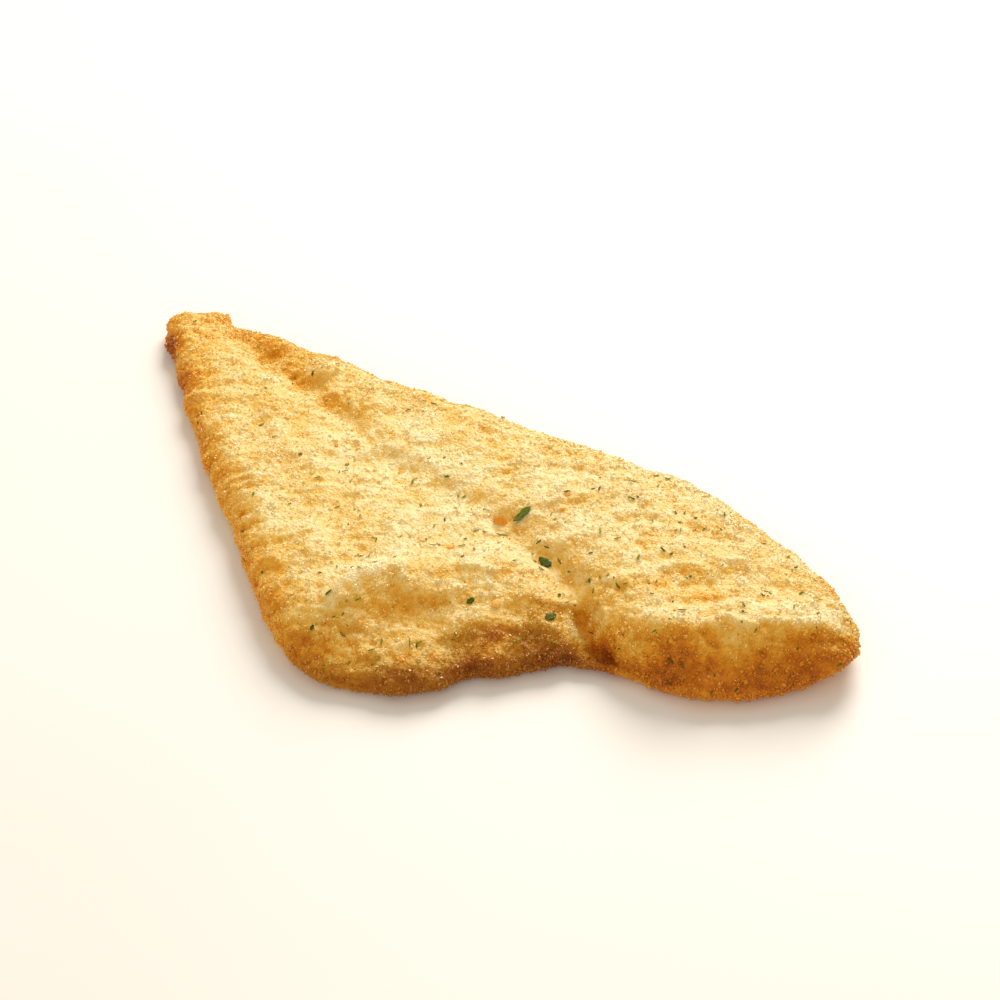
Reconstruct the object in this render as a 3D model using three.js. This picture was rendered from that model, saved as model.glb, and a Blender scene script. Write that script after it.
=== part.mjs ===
// A breaded, fried fish fillet: a flat two-lobed half of a flatfish, tapering to a blunt tail.
// Millimetres, +Z up. The tail points to +Y and the two lobes to -Y. The fillet lies on its
// flat underside at z = 0, and the origin is the middle of its box on that plane.
import * as THREE from 'three';

// Outline seen from above, clockwise from the tail's left corner, before it is centred.
const TAIL_END = [[-12.5, 103], [-8.5, 110], [-3, 112.5], [4.5, 110], [9.8, 104]];
const RIGHT_FLANK = [
  [7.8, 98], [13.4, 84], [26.4, 46], [35, 24], [46.5, -6], [59, -40], [61.2, -66], [58.8, -94],
];
const RIGHT_CORNER = [[52.5, -108.5]];
const RIGHT_BASE = [[43.5, -113.5], [31, -111], [17, -104.5], [5.5, -94], [1.5, -84]];
const NOTCH = [[-2.5, -75.5]];
const LEFT_BASE = [[-10, -67.5], [-17, -65], [-25, -62.5], [-29.5, -57.5], [-39, -57], [-53, -47.5]];
const LEFT_CORNER = [[-61, -33.5]];
const LEFT_FLANK = [[-58, -10], [-49, 13.5], [-41, 34], [-35, 50], [-25.8, 72], [-17.8, 90]];

// Thickness of each half, at even steps from the lobe's front to the tail.
const LEFT_THICKNESS = [10.6, 12, 11.8, 10.8, 9.4, 8.2, 6.6];
const RIGHT_THICKNESS = [13.8, 14.4, 14, 12.6, 11, 9, 6.8];

// Rounding of the edge: the widest line stands at a share of the thickness, and the top and
// the underside turn into it over these distances.
const RIM_HEIGHT_SHARE = 0.33;
const TOP_ROUNDING = 11;
const TAIL_ROUNDING = 6;
const UNDERSIDE_ROUNDING = 5;
const CROWN_SHARE = 0.09;

// The front of each half slopes down to the base: how far back the slope starts, and the share
// of the full rise that is left at the base.
const LEFT_FRONT = { run: 28, share: 0.46 };
const RIGHT_FRONT = { run: 10, share: 0.35 };
const FRONT_SLOPE_POWER = 1.35;

// The groove between the two halves, at even steps from the notch to the tail: its depth, and
// its place across. The halves' thicknesses blend over it.
const GROOVE_DEPTHS = [5, 2, 0.6, 0.6, 1.3, 1.4, 0.6];
const GROOVE_HALF_WIDTH = 5;
const GROOVE_OFFSETS = [-1, 7.3, 6.5, 1.4, 3.9, 4, 2];
const SIDE_BLEND = 6;

// Muscle bands leave the groove on both sides. They fall towards the lobes from left to right:
// evenly across the left half, and ever more steeply across the right half.
const BAND_PITCH = 10;
const LEFT_BAND_SLOPE = 0.75;
const RIGHT_BAND_SLOPE = 0.15;
const RIGHT_BAND_BEND = 0.012;
const BAND_RELIEF = 0.36;
const BAND_SECOND_SHARE = 0.3;
const BAND_WANDER = { height: 2.2, across: 0.083, along: 0.05, swing: 0.9 };

// Shallow lumps where slow waves cross: radians per millimetre, and the start.
const LUMP_RELIEF = 0.5;
const BROAD_WAVE = { x: 0.21, y: 0.13, start: 0 };
const CROSS_WAVE = { x: -0.09, y: 0.17, start: 1.3 };
const SHORT_WAVE = { x: 0.37, y: -0.29, start: 2.1 };
const SHORT_WAVE_SHARE = 0.5;

// Local forms: place, half length, half width, turn in degrees, and height.
const FORMS = {
  leftBulge: { x: -35, y: -23, long: 12, short: 5.5, turn: 12, height: 2.2 },
  leftDip: { x: -32, y: -37, long: 12, short: 7, turn: -12, height: -1.8 },
  rightFold: { x: 33, y: -98, long: 17, short: 4.2, turn: -36, height: 1.6 },
  foldCrease: { x: 13, y: -94, long: 9, short: 4.5, turn: -35, height: -2.2 },
  rightHollow: { x: 27, y: -76, long: 9, short: 5, turn: -10, height: -1.2 },
  rightShoulder: { x: 30, y: -60, long: 18, short: 9, turn: -15, height: 0.8 },
  notchCushion: { x: 12, y: -80, long: 13, short: 7, turn: 65, height: 1.4 },
};

// Places that stand off the surface the fillet lies on: radius and rise.
const LIFTS = {
  rightCurl: { x: 45, y: -114, radius: 17, height: 3.6 },
  tailRise: { x: -3, y: 116, radius: 26, height: 0.5 },
};

// Mesh density; even numbers, as the underside uses every second line.
const ACROSS = 36;
const ALONG = 76;
const EDGE_CROWDING = 0.55;
const SAMPLES_PER_SPAN = 12;

const CRUST_COLOUR = 0xe2b56a;

function closedOutline() {
  const corners = {};
  const points = [];
  const addStretch = (name, stretch) => {
    corners[name] = points.length;
    points.push(...stretch.map(([x, y]) => new THREE.Vector3(x, y, 0)));
  };
  addStretch('tailLeft', TAIL_END);
  addStretch('afterTail', RIGHT_FLANK);
  addStretch('rightCorner', RIGHT_CORNER);
  addStretch('rightBase', RIGHT_BASE);
  addStretch('notch', NOTCH);
  addStretch('leftBase', LEFT_BASE);
  addStretch('leftCorner', LEFT_CORNER);
  addStretch('leftFlank', LEFT_FLANK);
  corners.tailRight = corners.afterTail - 1;
  corners.end = points.length;
  return { curve: new THREE.CatmullRomCurve3(points, true, 'centripetal'), corners };
}

// The stretch of a curve between two of its points, as a chain with even steps in between.
function chainBetween(curve, first, last) {
  const spans = last - first;
  const total = curve.points.length;
  const chain = [];
  for (let i = 0; i <= spans * SAMPLES_PER_SPAN; i += 1) {
    const place = (first + i / SAMPLES_PER_SPAN) / total;
    chain.push(curve.getPoint(place % 1));
  }
  return chain;
}

// The point at a fraction of a chain's length.
function pointAlong(chain, fraction) {
  const lengths = [0];
  for (let i = 1; i < chain.length; i += 1) {
    lengths.push(lengths[i - 1] + chain[i].distanceTo(chain[i - 1]));
  }
  const target = fraction * lengths.at(-1);
  let i = 1;
  while (i < chain.length - 1 && lengths[i] < target) {
    i += 1;
  }
  const share = (target - lengths[i - 1]) / (lengths[i] - lengths[i - 1]);
  return chain[i - 1].clone().lerp(chain[i], share);
}

function outlineSides({ curve, corners }) {
  return {
    tail: chainBetween(curve, corners.tailLeft, corners.tailRight),
    right: chainBetween(curve, corners.tailRight, corners.rightCorner).reverse(),
    rightBase: chainBetween(curve, corners.rightCorner, corners.notch).reverse(),
    leftBase: chainBetween(curve, corners.notch, corners.leftCorner).reverse(),
    left: chainBetween(curve, corners.leftCorner, corners.end),
  };
}

// The base edge runs from the left corner through the notch, at one half, to the right corner.
function basePoint(sides, across) {
  const onLeft = across < 0.5;
  return onLeft ? pointAlong(sides.leftBase, across * 2) : pointAlong(sides.rightBase, across * 2 - 1);
}

// A patch stretched between the base, the tail end and the two flanks.
function patchPoint(sides, across, along) {
  const base = basePoint(sides, across);
  const tail = pointAlong(sides.tail, across);
  const left = pointAlong(sides.left, along);
  const right = pointAlong(sides.right, along);
  const ends = base.lerp(tail, along);
  const flanks = left.lerp(right, across);
  const baseLine = basePoint(sides, 0).lerp(basePoint(sides, 1), across);
  const tailLine = pointAlong(sides.tail, 0).lerp(pointAlong(sides.tail, 1), across);
  return ends.add(flanks).sub(baseLine.lerp(tailLine, along));
}

// A value read from evenly spaced steps, with smooth turns between them.
function valueAlong(steps, along) {
  const place = THREE.MathUtils.clamp(along, 0, 1) * (steps.length - 1);
  const i = Math.min(Math.floor(place), steps.length - 2);
  const share = THREE.MathUtils.smoothstep(place - i, 0, 1);
  return THREE.MathUtils.lerp(steps[i], steps[i + 1], share);
}

// Lines crowd towards the edges, where the surface turns fastest.
function crowded(fraction) {
  const eased = 0.5 - 0.5 * Math.cos(Math.PI * fraction);
  return THREE.MathUtils.lerp(fraction, eased, EDGE_CROWDING);
}

function distanceToChain(point, chain) {
  const line = new THREE.Line3();
  const nearest = new THREE.Vector3();
  let distance = Infinity;
  for (let i = 1; i < chain.length; i += 1) {
    line.set(chain[i - 1], chain[i]).closestPointToPoint(point, true, nearest);
    distance = Math.min(distance, nearest.distanceTo(point));
  }
  return distance;
}

// A quarter-round rise from 0 at the edge to 1 at the given run.
function quarterRound(distance, run) {
  const left = 1 - Math.min(distance / run, 1);
  return Math.sqrt(1 - left * left);
}

// A soft oval hill or hollow.
function ovalForm(form, x, y) {
  const turn = THREE.MathUtils.degToRad(form.turn);
  const dx = x - form.x;
  const dy = y - form.y;
  const lengthwise = (dx * Math.cos(turn) + dy * Math.sin(turn)) / form.long;
  const crosswise = (dy * Math.cos(turn) - dx * Math.sin(turn)) / form.short;
  return form.height * Math.exp(-lengthwise * lengthwise - crosswise * crosswise);
}

function liftAt(x, y) {
  let lift = 0;
  for (const place of Object.values(LIFTS)) {
    const near = 1 - Math.min(Math.hypot(x - place.x, y - place.y) / place.radius, 1);
    lift += place.height * near * near * (3 - 2 * near);
  }
  return lift;
}

// Ridges with a steep side towards the tail, as overlapping flakes have.
function bandRelief(x, y, reach) {
  const swing = BAND_WANDER.swing * Math.sin(BAND_WANDER.along * y);
  const wander = BAND_WANDER.height * Math.sin(BAND_WANDER.across * x + swing);
  const slope = reach < 0 ? LEFT_BAND_SLOPE : RIGHT_BAND_SLOPE + RIGHT_BAND_BEND * reach;
  const phase = (y + slope * reach + wander) / BAND_PITCH;
  const wave = Math.sin(2 * Math.PI * phase) + BAND_SECOND_SHARE * Math.sin(4 * Math.PI * phase);
  return BAND_RELIEF * wave;
}

function waveAt(wave, x, y) {
  return Math.sin(wave.x * x + wave.y * y + wave.start);
}

function lumps(x, y) {
  const crossing = waveAt(BROAD_WAVE, x, y) * waveAt(CROSS_WAVE, x, y);
  return LUMP_RELIEF * (crossing + SHORT_WAVE_SHARE * waveAt(SHORT_WAVE, x, y));
}

// The share of the full rise at a distance from a half's front.
function frontRise(front, distance) {
  const left = 1 - Math.min(distance / front.run, 1);
  return 1 - (1 - front.share) * left ** FRONT_SLOPE_POWER;
}

// Heights of the top and the underside over one point of the plan.
function heightsAt({ x, y }, along, edgeDistance, frontDistance) {
  const reach = x - valueAlong(GROOVE_OFFSETS, along);
  const side = THREE.MathUtils.smoothstep(reach, -SIDE_BLEND, SIDE_BLEND);
  const leftThickness = valueAlong(LEFT_THICKNESS, along);
  const thickness = THREE.MathUtils.lerp(leftThickness, valueAlong(RIGHT_THICKNESS, along), side);
  const fromGroove = Math.abs(reach) / (Math.abs(reach) + edgeDistance);
  const rounding = THREE.MathUtils.lerp(TOP_ROUNDING, TAIL_ROUNDING, along);
  const leftFront = frontRise(LEFT_FRONT, frontDistance);
  const front = THREE.MathUtils.lerp(leftFront, frontRise(RIGHT_FRONT, frontDistance), side);
  const rise = front * quarterRound(edgeDistance, rounding);
  const crown = 1 - CROWN_SHARE + CROWN_SHARE * Math.sin(Math.PI * fromGroove);
  const groove = valueAlong(GROOVE_DEPTHS, along) * Math.exp(-((reach / GROOVE_HALF_WIDTH) ** 2));
  const forms = Object.values(FORMS).reduce((sum, form) => sum + ovalForm(form, x, y), 0);
  const relief = bandRelief(x, y, reach) + lumps(x, y) + forms - groove;
  const lift = liftAt(x, y);
  const rim = RIM_HEIGHT_SHARE * thickness;
  const top = rim + (thickness * crown + relief - rim) * rise;
  const underside = rim * (1 - quarterRound(edgeDistance, UNDERSIDE_ROUNDING));
  return { top: top + lift, underside: underside + lift };
}

// The coarser underside uses the corners and the middles of its double cells.
function usedBelow(i, j) {
  return (i + j) % 2 === 0;
}

// Vertices of the top sheet, then of the underside, which shares the top's rim.
function filletVertices(sides, rim) {
  const front = [...sides.leftBase, ...sides.rightBase];
  const vertices = [];
  const topIndex = [];
  const undersideIndex = [];
  for (let j = 0; j <= ALONG; j += 1) {
    for (let i = 0; i <= ACROSS; i += 1) {
      const across = crowded(i / ACROSS);
      const along = crowded(j / ALONG);
      const onRim = i === 0 || j === 0 || i === ACROSS || j === ALONG;
      const point = patchPoint(sides, across, along);
      const edgeDistance = onRim ? 0 : distanceToChain(point, rim);
      const heights = heightsAt(point, along, edgeDistance, distanceToChain(point, front));
      topIndex.push(vertices.length / 3);
      vertices.push(point.x, point.y, heights.top);
      undersideIndex.push(onRim ? topIndex.at(-1) : vertices.length / 3);
      if (!onRim && usedBelow(i, j)) {
        vertices.push(point.x, point.y, heights.underside);
      }
    }
  }
  return { vertices, topIndex, undersideIndex };
}

function topFaces(index) {
  const faces = [];
  for (let j = 0; j < ALONG; j += 1) {
    for (let i = 0; i < ACROSS; i += 1) {
      const [a, b, c, d] = [[i, j], [i + 1, j], [i + 1, j + 1], [i, j + 1]].map(index);
      faces.push(a, b, c, a, c, d);
    }
  }
  return faces;
}

// The underside is twice as coarse: each cell is a fan round its middle, and the cells at the
// rim take the rim's own points in.
function undersideFaces(index) {
  const faces = [];
  for (let j = 0; j < ALONG; j += 2) {
    for (let i = 0; i < ACROSS; i += 2) {
      const ring = [[i, j], [i, j + 2], [i + 2, j + 2], [i + 2, j]];
      if (j === 0) {
        ring.splice(4, 0, [i + 1, 0]);
      }
      if (i + 2 === ACROSS) {
        ring.splice(3, 0, [ACROSS, j + 1]);
      }
      if (j + 2 === ALONG) {
        ring.splice(2, 0, [i + 1, ALONG]);
      }
      if (i === 0) {
        ring.splice(1, 0, [0, j + 1]);
      }
      const middle = index([i + 1, j + 1]);
      ring.forEach((cell, k) => {
        faces.push(middle, index(cell), index(ring[(k + 1) % ring.length]));
      });
    }
  }
  return faces;
}

function filletGeometry() {
  const outline = closedOutline();
  const sides = outlineSides(outline);
  const rim = chainBetween(outline.curve, 0, outline.corners.end);
  const { vertices, topIndex, undersideIndex } = filletVertices(sides, rim);
  const place = ([i, j]) => j * (ACROSS + 1) + i;
  const faces = [
    ...topFaces((cell) => topIndex[place(cell)]),
    ...undersideFaces((cell) => undersideIndex[place(cell)]),
  ];
  const geometry = new THREE.BufferGeometry();
  geometry.setAttribute('position', new THREE.Float32BufferAttribute(vertices, 3));
  geometry.setIndex(faces);
  geometry.computeBoundingBox();
  const middle = geometry.boundingBox.getCenter(new THREE.Vector3());
  geometry.translate(-middle.x, -middle.y, -geometry.boundingBox.min.z);
  geometry.computeVertexNormals();
  return geometry;
}

function makeFillet() {
  const crust = new THREE.MeshStandardMaterial({ color: CRUST_COLOUR, roughness: 0.75, metalness: 0 });
  const fillet = new THREE.Mesh(filletGeometry(), crust);
  fillet.name = 'fillet';
  return fillet;
}

const group = new THREE.Group();
group.add(makeFillet());

export default group;
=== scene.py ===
"""A fried fish fillet in a fine golden crumb crust, with herb flecks, on a plain pale floor.

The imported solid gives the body's form. The crust is a finer mesh of that form with its own
relief, and the loose crumbs, toasted crumbs, herbs and specks are separate joined meshes on it.
Lengths in the named values are millimetres, in the part's own frame, unless they say otherwise.
"""

import math
from itertools import product

import bmesh
import bpy
import numpy as np
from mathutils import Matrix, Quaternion, Vector
from mathutils.kdtree import KDTree


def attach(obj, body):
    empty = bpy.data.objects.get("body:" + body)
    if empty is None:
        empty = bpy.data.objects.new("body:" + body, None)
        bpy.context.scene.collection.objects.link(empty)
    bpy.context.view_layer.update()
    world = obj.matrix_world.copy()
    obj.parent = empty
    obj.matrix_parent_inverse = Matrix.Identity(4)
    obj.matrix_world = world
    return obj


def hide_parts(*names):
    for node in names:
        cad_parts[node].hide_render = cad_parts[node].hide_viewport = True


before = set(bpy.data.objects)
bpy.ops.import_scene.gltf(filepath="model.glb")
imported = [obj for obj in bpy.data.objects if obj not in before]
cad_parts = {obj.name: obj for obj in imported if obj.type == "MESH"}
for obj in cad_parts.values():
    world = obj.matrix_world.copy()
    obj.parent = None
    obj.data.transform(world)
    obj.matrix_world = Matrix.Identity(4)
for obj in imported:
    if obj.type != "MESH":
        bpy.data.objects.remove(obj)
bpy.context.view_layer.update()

MM = 0.001
NODE = "fillet"
BODY = "root"

# The camera looks at a point of the floor plane, from this side and height.
CAMERA_AIM = (21.5, -3.9, 0)
CAMERA_AZIMUTH = -38.58
CAMERA_ELEVATION = 38.17
CAMERA_ROLL = 0.91
CAMERA_DISTANCE = 811.7
CAMERA_LENS = 110.95
SENSOR_WIDTH = 36
CAMERA_CLIP_START = 10

# The groove between the two halves: even steps from the notch to the tail.
GROOVE_START = -76
GROOVE_END = 105
GROOVE_OFFSETS = (-1, 7.3, 6.5, 1.4, 3.9, 4, 2)
GROOVE_WIDTH = 3.2
GROOVE_WOBBLE = 1.4
GROOVE_WOBBLE_PITCH = 9
GROOVE_EXTRA_DEPTHS = (1.2, 0.6, 0.2, 0.3, 0.5, 0.5, 0.3)

# Ridges and creases of the crust: (height, half width, places along it).
FOLDS = (
    (1.8, 3.0, ((-46, -24), (-41, -21.5), (-35, -20.5), (-30, -21.5), (-27, -25))),
    (-1.0, 4.0, ((-38, -30), (-28, -32))),
    (0.8, 2.6, ((-26, -32), (-21, -29), (-14, -31), (-8, -36))),
    (0.6, 2.4, ((-54, -28), (-48, -36), (-46, -43))),
    (0.5, 2.4, ((-52, -41), (-48, -47), (-40, -49))),
    (0.8, 2.0, ((22, -82), (31, -88), (44, -97))),
    (1.4, 2.0, ((15, -91), (17, -87.5), (23, -89), (32, -96), (41, -103))),
    (1.2, 4.0, ((22, -76), (29, -79))),
    (1.3, 9.0, ((-50, -22), (-34, -22), (-12, -34))),
    (-1.3, 6.5, ((-48, -38), (-36, -46), (-14, -53))),
    (-2.7, 1.8, ((3, -60), (-0.5, -67), (-2.5, -77))),
    (-1.0, 3.5, ((-1, -64), (-6, -70))),
    (1.5, 2.2, ((8, -62), (4, -69), (3.5, -77))),
    (-0.9, 3.5, ((14, -95), (24, -98), (34, -104))),
    (0.9, 2.4, ((6, -80), (11, -78), (17, -81))),
    (-0.9, 2.6, ((7, -92), (12, -90))),
    (-0.9, 5.0, ((-40, -36), (-28, -38))),
)

# Spots of darker colour (paler below 0), some fried and some painted shade on shaded faces and hollows,
# with painted light on lit crests: (x, y, half length, half width, turn, amount).
SPOTS = (
    (-34, -22, 9, 3, 0, -0.07),
    (-36, -30, 14, 7, 0, -0.08),
    (-38, -34, 7, 4, 0, 0.06),
    (-51, -31, 10, 8, 0, 0.1),
    (-42, -46, 3, 2, 0, 0.16),
    (-41, 0, 3.5, 1.8, -40, 0.16),
    (-41, 22, 3, 2, 0, 0.14),
    (-19, -53, 5, 3, 0, 0.16),
    (-58, -26, 5, 5, 0, 0.1),
    (-49, -6, 6, 3, 70, 0.16),
    (-56, -12, 8, 3, 70, 0.16),
    (25, -77, 6, 3.5, -35, 0.2),
    (20, -69, 3.2, 2.4, -20, 0.3),
    (12, -90, 10, 5, -20, 0.14),
    (4, 62, 8, 2.5, 80, 0.2),
    (6, 51, 6, 2.5, 80, 0.16),
    (8, 28, 12, 3, 85, 0.14),
    (-13, 103, 3, 5, 20, 0.5),
    (-20, 88, 3, 9, 20, 0.3),
    (-5, -68, 9, 4, -15, 0.14),
    (7, -88, 4, 3, 0, 0.18),
    (0, -73, 5, 3, 60, 0.3),
    (6, -22, 34, 26, 90, -0.08),
    (-26, -54, 26, 8, -14, 0.1),
    (14, -88, 26, 6, -36, -0.1),
    (46, -102, 9, 9, -36, -0.12),
    (10, 92, 14, 26, 0, 0.1),
)

# Level directions: the way to the key light, for the painted light on slopes facing it and the painted
# shade on slopes turned from it, and the way from the lobes' fronts to the tail.
KEY_LIGHT_SIDE = np.array((0.81, 0.58, 0))
FRONT_SIDE = np.array((0.35, 0.94, 0))

BODY_VOXEL = 1.1
BODY_SMOOTHING = 10

# Rounds of relaxing for the body's normals, the crust's slopes, the crumbs' seats and the hollows.
NORMAL_ROUNDS = 6
SLOPE_ROUNDS = 4
SEAT_ROUNDS = 3
HOLLOW_ROUNDS = 24
HOLLOW_DEPTH = 0.5

# Upward shares of a normal: a limit, or the levels where a kind of place begins and is full.
SEEN_FACING = -0.25
RIM_FACING = 0.2
SEAT_FACING = 0.25
TOP_FACING = (-0.2, 0.45)
SIDE_FACING = (0.3, 0.8)
UNDER_FACING = (0.2, 0.7)

GRADIENT_COUNT = 256
GRADIENT_SEED = 7
NOISE_SCALE = 1.6
OCTAVE_SEED_STEP = 31

# Large odd numbers and shifts that scramble a noise cell's place and seed.
SCRAMBLERS = (0x9E3779B1, 0x85EBCA77, 0xC2B2AE3D)
SEED_SCRAMBLER = 0x27D4EB2F
LAST_SCRAMBLER = 0x2C1B3C6D
FIRST_SHIFT = 15
LAST_SHIFT = 12
WORD = 0xFFFFFFFF


def unit_rows(rows):
    return rows / np.linalg.norm(rows, axis=1, keepdims=True)


GRADIENTS = unit_rows(np.random.default_rng(GRADIENT_SEED).normal(size=(GRADIENT_COUNT, 3)))


# ---------------------------------------------------------------- noise

def lattice_index(cells, seed):
    """A scrambled number below GRADIENT_COUNT for each whole cell."""
    x, y, z = (cells[:, axis].astype(np.uint32) * np.uint32(SCRAMBLERS[axis]) for axis in range(3))
    mixed = x ^ y ^ z
    mixed ^= np.uint32((seed + 1) * SEED_SCRAMBLER & WORD)
    mixed ^= mixed >> np.uint32(FIRST_SHIFT)
    mixed *= np.uint32(LAST_SCRAMBLER)
    mixed ^= mixed >> np.uint32(LAST_SHIFT)
    return mixed % np.uint32(GRADIENT_COUNT)


def gradient_noise(points, seed):
    """Smooth noise of about -1 to 1, with one cell to the unit."""
    cells = np.floor(points).astype(np.int64)
    local = points - cells
    fade = local ** 3 * (local * (local * 6 - 15) + 10)
    total = np.zeros(len(points))
    for corner in product((0, 1), repeat=3):
        gradients = GRADIENTS[lattice_index(cells + corner, seed)]
        weight = np.prod(np.where(corner, fade, 1 - fade), axis=1)
        total += weight * np.sum(gradients * (local - corner), axis=1)
    return NOISE_SCALE * total


def layered_noise(points, pitch, octaves, seed):
    """Noise with its largest lumps one pitch apart, each further layer half as wide and high."""
    total = np.zeros(len(points))
    for octave in range(octaves):
        layer_seed = seed + OCTAVE_SEED_STEP * octave
        total += gradient_noise(points * (2 ** octave / pitch), layer_seed) / 2 ** octave
    return total


def smooth_step(values, low, high):
    share = np.clip((values - low) / (high - low), 0, 1)
    return share * share * (3 - 2 * share)


def value_along(steps, share):
    """A value read from evenly spaced steps, with smooth turns between them."""
    place = np.clip(share, 0, 1) * (len(steps) - 1)
    index = np.minimum(place.astype(int), len(steps) - 2)
    part = smooth_step(place - index, 0, 1)
    steps = np.asarray(steps, float)
    return steps[index] * (1 - part) + steps[index + 1] * part


# ---------------------------------------------------------------- mesh helpers

def new_piece(name, mesh):
    piece = bpy.data.objects.new(name, mesh)
    bpy.context.scene.collection.objects.link(piece)
    return piece


def keep_modified(piece):
    """Puts the result of the piece's modifiers in place of its mesh."""
    graph = bpy.context.evaluated_depsgraph_get()
    mesh = bpy.data.meshes.new_from_object(piece.evaluated_get(graph))
    piece.modifiers.clear()
    piece.data = mesh


def points_of(mesh):
    flat = np.empty(len(mesh.vertices) * 3)
    mesh.vertices.foreach_get("co", flat)
    return flat.reshape(-1, 3) / MM


def normals_of(mesh):
    flat = np.empty(len(mesh.vertices) * 3, np.float32)
    mesh.vertex_normals.foreach_get("vector", flat)
    return flat.reshape(-1, 3).astype(float)


def set_points(mesh, points):
    mesh.vertices.foreach_set("co", (points * MM).astype(np.float32).ravel())
    mesh.update()


def edges_of(mesh):
    flat = np.empty(len(mesh.edges) * 2, np.int32)
    mesh.edges.foreach_get("vertices", flat)
    return flat.reshape(-1, 2)


def neighbour_mean(values, edges):
    """The mean of each vertex's neighbours, for an n by k array."""
    first, second = edges.T
    count = np.bincount(edges.ravel(), minlength=len(values))
    columns = []
    for column in values.T:
        gathered = np.bincount(first, column[second], len(values))
        gathered += np.bincount(second, column[first], len(values))
        columns.append(gathered / count)
    return np.stack(columns, axis=1)


def relaxed(values, edges, rounds, strength=0.5):
    for _ in range(rounds):
        values = values + strength * (neighbour_mean(values, edges) - values)
    return values


def mesh_from(name, points, triangles):
    """A mesh of triangles from points in millimetres."""
    mesh = bpy.data.meshes.new(name)
    mesh.vertices.add(len(points))
    mesh.vertices.foreach_set("co", (points * MM).astype(np.float32).ravel())
    mesh.loops.add(triangles.size)
    mesh.loops.foreach_set("vertex_index", triangles.astype(np.int32).ravel())
    mesh.polygons.add(len(triangles))
    mesh.polygons.foreach_set("loop_start", np.arange(0, triangles.size, 3, dtype=np.int32))
    mesh.update(calc_edges=True)
    return mesh


def set_attribute(mesh, name, values):
    layer = mesh.attributes.new(name, "FLOAT", "POINT")
    layer.data.foreach_set("value", np.asarray(values, np.float32))


def smooth_shaded(mesh, smooth=True):
    mesh.polygons.foreach_set("use_smooth", np.full(len(mesh.polygons), smooth))
    mesh.update()


# ---------------------------------------------------------------- crust

def remeshed_body():
    """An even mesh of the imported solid, with its facets relaxed away."""
    piece = new_piece("fillet_crust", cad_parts[NODE].data.copy())
    remesh = piece.modifiers.new("even", "REMESH")
    remesh.mode = "VOXEL"
    remesh.voxel_size = BODY_VOXEL * MM
    keep_modified(piece)
    edges = edges_of(piece.data)
    points = relaxed(points_of(piece.data), edges, BODY_SMOOTHING)
    set_points(piece.data, points)
    return piece


def refine_top(piece):
    """Halves the mesh size everywhere but on the underside."""
    form = bmesh.new()
    form.from_mesh(piece.data)
    form.normal_update()
    seen = [face for face in form.faces if face.normal.z > SEEN_FACING]
    edges = list({edge for face in seen for edge in face.edges})
    bmesh.ops.subdivide_edges(form, edges=edges, cuts=1, use_grid_fill=True)
    form.to_mesh(piece.data)
    form.free()


def edge_distance(points, normals):
    """How far each point lies from the widest line of the body, seen from above."""
    rim = points[np.abs(normals[:, 2]) < RIM_FACING]
    tree = KDTree(len(rim))
    for index, (x, y, _) in enumerate(rim):
        tree.insert((x, y, 0), index)
    tree.balance()
    return np.array([tree.find((x, y, 0))[2] for x, y, _ in points])


class Place:
    """Where the crust's points lie on the fillet, in millimetres."""

    def __init__(self, mesh):
        self.points = points_of(mesh)
        self.edges = edges_of(mesh)
        self.normals = unit_rows(relaxed(normals_of(mesh), self.edges, NORMAL_ROUNDS))
        self.edge = edge_distance(self.points, self.normals)
        self.x, self.y, self.z = self.points.T
        self.along = (self.y - GROOVE_START) / (GROOVE_END - GROOVE_START)
        self.reach = self.x - value_along(GROOVE_OFFSETS, self.along)
        self.top = smooth_step(self.normals[:, 2], *TOP_FACING)
        self.side = 1 - smooth_step(np.abs(self.normals[:, 2]), *SIDE_FACING)
        self.under = smooth_step(-self.normals[:, 2], *UNDER_FACING)


def oval(place, x, y, long, short, turn):
    """1 at the middle of an oval spot, falling off softly round it."""
    angle = math.radians(turn)
    dx, dy = place.x - x, place.y - y
    lengthwise = (dx * math.cos(angle) + dy * math.sin(angle)) / long
    crosswise = (dy * math.cos(angle) - dx * math.sin(angle)) / short
    return np.exp(-lengthwise ** 2 - crosswise ** 2)


def line_distance(x, y, line):
    """The distance of each place from a line of straight stretches."""
    nearest = np.full(len(x), np.inf)
    for (x0, y0), (x1, y1) in zip(line, line[1:]):
        dx, dy = x1 - x0, y1 - y0
        share = np.clip(((x - x0) * dx + (y - y0) * dy) / (dx * dx + dy * dy), 0, 1)
        nearest = np.minimum(nearest, np.hypot(x - x0 - share * dx, y - y0 - share * dy))
    return nearest


FOLD_WOBBLE = 1.6
FOLD_WOBBLE_PITCH = 7


def fold_relief(place):
    wobble = FOLD_WOBBLE * layered_noise(place.points, FOLD_WOBBLE_PITCH, 2, 71)
    other_wobble = FOLD_WOBBLE * layered_noise(place.points, FOLD_WOBBLE_PITCH, 2, 72)
    relief = np.zeros(len(place.x))
    for height, width, line in FOLDS:
        away = line_distance(place.x + wobble, place.y + other_wobble, line)
        relief += height * np.exp(-(away / width) ** 2)
    return relief


# How the flakes slope across each half, and how far their course wanders.
LEFT_FLAKE_SLOPE = 0.75
RIGHT_FLAKE_SLOPE = 0.15
RIGHT_FLAKE_BEND = 0.012
FLAKE_WANDER = 2.5
FLAKE_WANDER_PITCH = 24

# Flakes from large to small: (pitch, length, height, seed).
FLAKES = ((7.0, 20, 1.2, 21), (4.4, 11, 0.8, 22), (2.4, 5, 0.42, 23))
FLAKE_PATCH_PITCH = 13
FLAKE_PATCH_MEAN = 0.55
FLAKE_PATCH_SWING = 0.45
FLAKE_CREST = 0.35


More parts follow.
